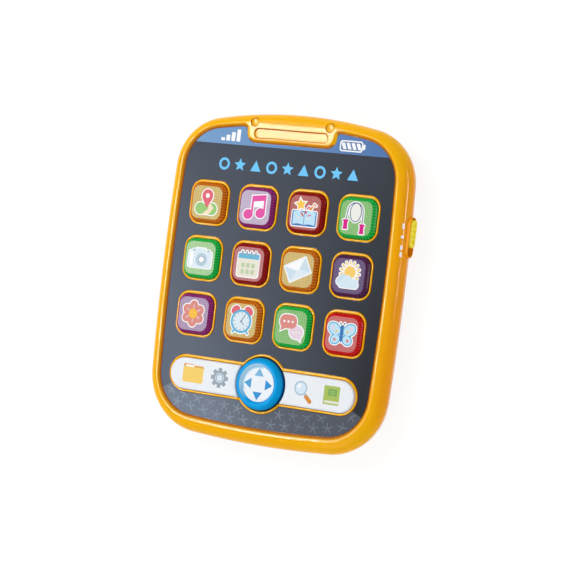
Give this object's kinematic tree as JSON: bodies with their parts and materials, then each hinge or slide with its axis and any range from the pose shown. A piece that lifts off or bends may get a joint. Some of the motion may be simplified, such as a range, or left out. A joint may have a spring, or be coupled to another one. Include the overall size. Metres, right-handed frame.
{
  "type": "toy tablet",
  "caption": "Toddler's toy tablet: an orange case with a rimmed printed screen, square clear press keys, a menu bar of two keys, a four-way knob and a side slide switch.",
  "frame": {"origin": "centre of the flat back, on the plane it lies on", "axes": "+X the tablet's right, +Y its head, +Z out of the screen"},
  "size_m": [0.1658, 0.199, 0.0245],
  "materials": {
    "shell": "glossy moulded orange plastic",
    "print": "printed sheet with a satin sheen",
    "cap_amber": "clear coloured plastic, ribbed inside",
    "cap_purple": "clear coloured plastic, ribbed inside",
    "cap_dark_red": "clear coloured plastic, ribbed inside",
    "cap_green": "clear coloured plastic, ribbed inside",
    "cap_red": "clear coloured plastic, ribbed inside",
    "cap_violet": "clear coloured plastic, ribbed inside",
    "bar": "white plastic, half gloss",
    "knob": "glossy blue plastic",
    "face": "white plastic, half gloss",
    "slider": "yellow plastic",
    "steel": "plain steel",
    "inner_plastic": "plain white plastic",
    "keypad": "silicone rubber",
    "board": "coated board",
    "light": "moulded lamp bodies",
    "chip": "moulded black",
    "cell": "painted steel can",
    "basket": "painted pressed steel",
    "magnet": "bare magnet",
    "cone": "pressed paper",
    "lead": "insulated wire"
  },
  "bodies": {
    "case": {"front_case": "shell", "rear_case": "shell", "screen_label": "print", "nav_yoke": "inner_plastic", "switch_collar": "shell", "switch_body": "steel", "rubber_keypad": "keypad", "light_box": "inner_plastic", "main_board": "board", "key_lights": "light", "board_parts": "chip", "board_screws": "steel", "battery_door": "shell", "door_screw": "steel", "battery_1": "cell", "battery_2": "cell", "battery_contacts": "steel", "speaker_basket": "basket", "speaker_magnet": "magnet", "speaker_cone": "cone", "speaker_clamp": "inner_plastic", "speaker_screws": "steel", "case_screws": "steel", "speaker_lead": "lead", "battery_lead": "lead"},
    "app_key_1": {"app_button_1": "cap_amber"},
    "app_key_2": {"app_button_2": "cap_purple"},
    "app_key_3": {"app_button_3": "cap_dark_red"},
    "app_key_4": {"app_button_4": "cap_green"},
    "app_key_5": {"app_button_5": "cap_green"},
    "app_key_6": {"app_button_6": "cap_dark_red"},
    "app_key_7": {"app_button_7": "cap_amber"},
    "app_key_8": {"app_button_8": "cap_violet"},
    "app_key_9": {"app_button_9": "cap_purple"},
    "app_key_10": {"app_button_10": "cap_amber"},
    "app_key_11": {"app_button_11": "cap_green"},
    "app_key_12": {"app_button_12": "cap_red"},
    "menu_left": {"menu_key_left": "bar"},
    "menu_right": {"menu_key_right": "bar"},
    "knob_cross": {"nav_cross": "steel"},
    "knob": {"nav_knob": "knob", "nav_face": "face"},
    "switch": {"switch_slider": "slider", "switch_lever": "inner_plastic"}
  },
  "joints": [
    {"name": "press_key_1", "type": "slide", "parent": "case", "child": "app_key_1", "axis": [0, 0, -1], "range_m": [0, 0.0012], "stiffness_N_per_m": 400, "springref_m": -0.0015, "deforming": ["rubber_keypad"]},
    {"name": "press_key_2", "type": "slide", "parent": "case", "child": "app_key_2", "axis": [0, 0, -1], "range_m": [0, 0.0012], "stiffness_N_per_m": 400, "springref_m": -0.0015, "deforming": ["rubber_keypad"]},
    {"name": "press_key_3", "type": "slide", "parent": "case", "child": "app_key_3", "axis": [0, 0, -1], "range_m": [0, 0.0012], "stiffness_N_per_m": 400, "springref_m": -0.0015, "deforming": ["rubber_keypad"]},
    {"name": "press_key_4", "type": "slide", "parent": "case", "child": "app_key_4", "axis": [0, 0, -1], "range_m": [0, 0.0012], "stiffness_N_per_m": 400, "springref_m": -0.0015, "deforming": ["rubber_keypad"]},
    {"name": "press_key_5", "type": "slide", "parent": "case", "child": "app_key_5", "axis": [0, 0, -1], "range_m": [0, 0.0012], "stiffness_N_per_m": 400, "springref_m": -0.0015, "deforming": ["rubber_keypad"]},
    {"name": "press_key_6", "type": "slide", "parent": "case", "child": "app_key_6", "axis": [0, 0, -1], "range_m": [0, 0.0012], "stiffness_N_per_m": 400, "springref_m": -0.0015, "deforming": ["rubber_keypad"]},
    {"name": "press_key_7", "type": "slide", "parent": "case", "child": "app_key_7", "axis": [0, 0, -1], "range_m": [0, 0.0012], "stiffness_N_per_m": 400, "springref_m": -0.0015, "deforming": ["rubber_keypad"]},
    {"name": "press_key_8", "type": "slide", "parent": "case", "child": "app_key_8", "axis": [0, 0, -1], "range_m": [0, 0.0012], "stiffness_N_per_m": 400, "springref_m": -0.0015, "deforming": ["rubber_keypad"]},
    {"name": "press_key_9", "type": "slide", "parent": "case", "child": "app_key_9", "axis": [0, 0, -1], "range_m": [0, 0.0012], "stiffness_N_per_m": 400, "springref_m": -0.0015, "deforming": ["rubber_keypad"]},
    {"name": "press_key_10", "type": "slide", "parent": "case", "child": "app_key_10", "axis": [0, 0, -1], "range_m": [0, 0.0012], "stiffness_N_per_m": 400, "springref_m": -0.0015, "deforming": ["rubber_keypad"]},
    {"name": "press_key_11", "type": "slide", "parent": "case", "child": "app_key_11", "axis": [0, 0, -1], "range_m": [0, 0.0012], "stiffness_N_per_m": 400, "springref_m": -0.0015, "deforming": ["rubber_keypad"]},
    {"name": "press_key_12", "type": "slide", "parent": "case", "child": "app_key_12", "axis": [0, 0, -1], "range_m": [0, 0.0012], "stiffness_N_per_m": 400, "springref_m": -0.0015, "deforming": ["rubber_keypad"]},
    {"name": "press_menu_left", "type": "slide", "parent": "case", "child": "menu_left", "axis": [0, 0, -1], "range_m": [0, 0.0012], "stiffness_N_per_m": 400, "springref_m": -0.0015, "deforming": ["rubber_keypad"]},
    {"name": "press_menu_right", "type": "slide", "parent": "case", "child": "menu_right", "axis": [0, 0, -1], "range_m": [0, 0.0012], "stiffness_N_per_m": 400, "springref_m": -0.0015, "deforming": ["rubber_keypad"]},
    {"name": "tilt_up_down", "type": "hinge", "parent": "case", "child": "knob_cross", "pos_m": [0, -0.0624, 0.0172], "axis": [1, 0, 0], "range_deg": [-3.5, 3.5], "stiffness_Nm_per_rad": 0.05, "deforming": ["rubber_keypad"]},
    {"name": "tilt_left_right", "type": "hinge", "parent": "knob_cross", "child": "knob", "pos_m": [0, -0.0624, 0.0172], "axis": [0, 1, 0], "range_deg": [-3.5, 3.5], "stiffness_Nm_per_rad": 0.05, "deforming": ["rubber_keypad"]},
    {"name": "slide_switch", "type": "slide", "parent": "case", "child": "switch", "axis": [0, -1, 0], "range_m": [0, 0.0044]}
  ]
}
